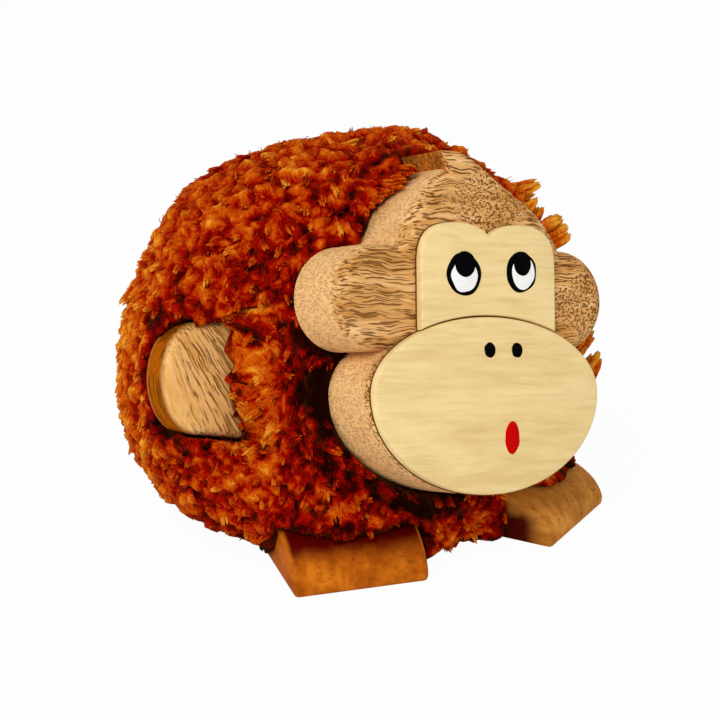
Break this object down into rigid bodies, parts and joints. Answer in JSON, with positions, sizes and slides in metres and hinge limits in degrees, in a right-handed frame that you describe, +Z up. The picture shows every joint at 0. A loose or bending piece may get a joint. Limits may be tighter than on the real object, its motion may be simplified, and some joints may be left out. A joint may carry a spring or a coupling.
{
  "type": "monkey figure",
  "caption": "Seated monkey figure with a round yarn pom-pom body, a sawn wooden head with pale face plates, and wooden arms and feet, to stand on a shelf.",
  "frame": {"origin": "on the ground, under the middle of the figure's bounding box", "axes": "+Z up, the face looks along -Y, +X is the figure's own left"},
  "size_m": [0.1226, 0.1214, 0.0976],
  "materials": {
    "yarn": "cut yarn pile, matte",
    "cord": "twisted cotton",
    "inner_wood": "bare turned wood",
    "head_wood": "coarse open-pored wood, oiled",
    "pale_wood": "fine pale wood, satin",
    "arm_wood": "coarse open-pored wood, oiled",
    "foot_wood": "reddish brown wood, satin"
  },
  "bodies": {
    "root": {"yarn_body": "yarn", "tie_cord": "cord", "body_core": "inner_wood", "neck_dowel": "inner_wood", "right_arm_dowel": "inner_wood", "left_arm_dowel": "inner_wood", "right_foot_dowel": "inner_wood", "left_foot_dowel": "inner_wood", "head_block": "head_wood", "brow_plate": "pale_wood", "muzzle_plate": "pale_wood", "right_arm": "arm_wood", "left_arm": "arm_wood", "right_foot": "foot_wood", "left_foot": "foot_wood"}
  },
  "joints": []
}
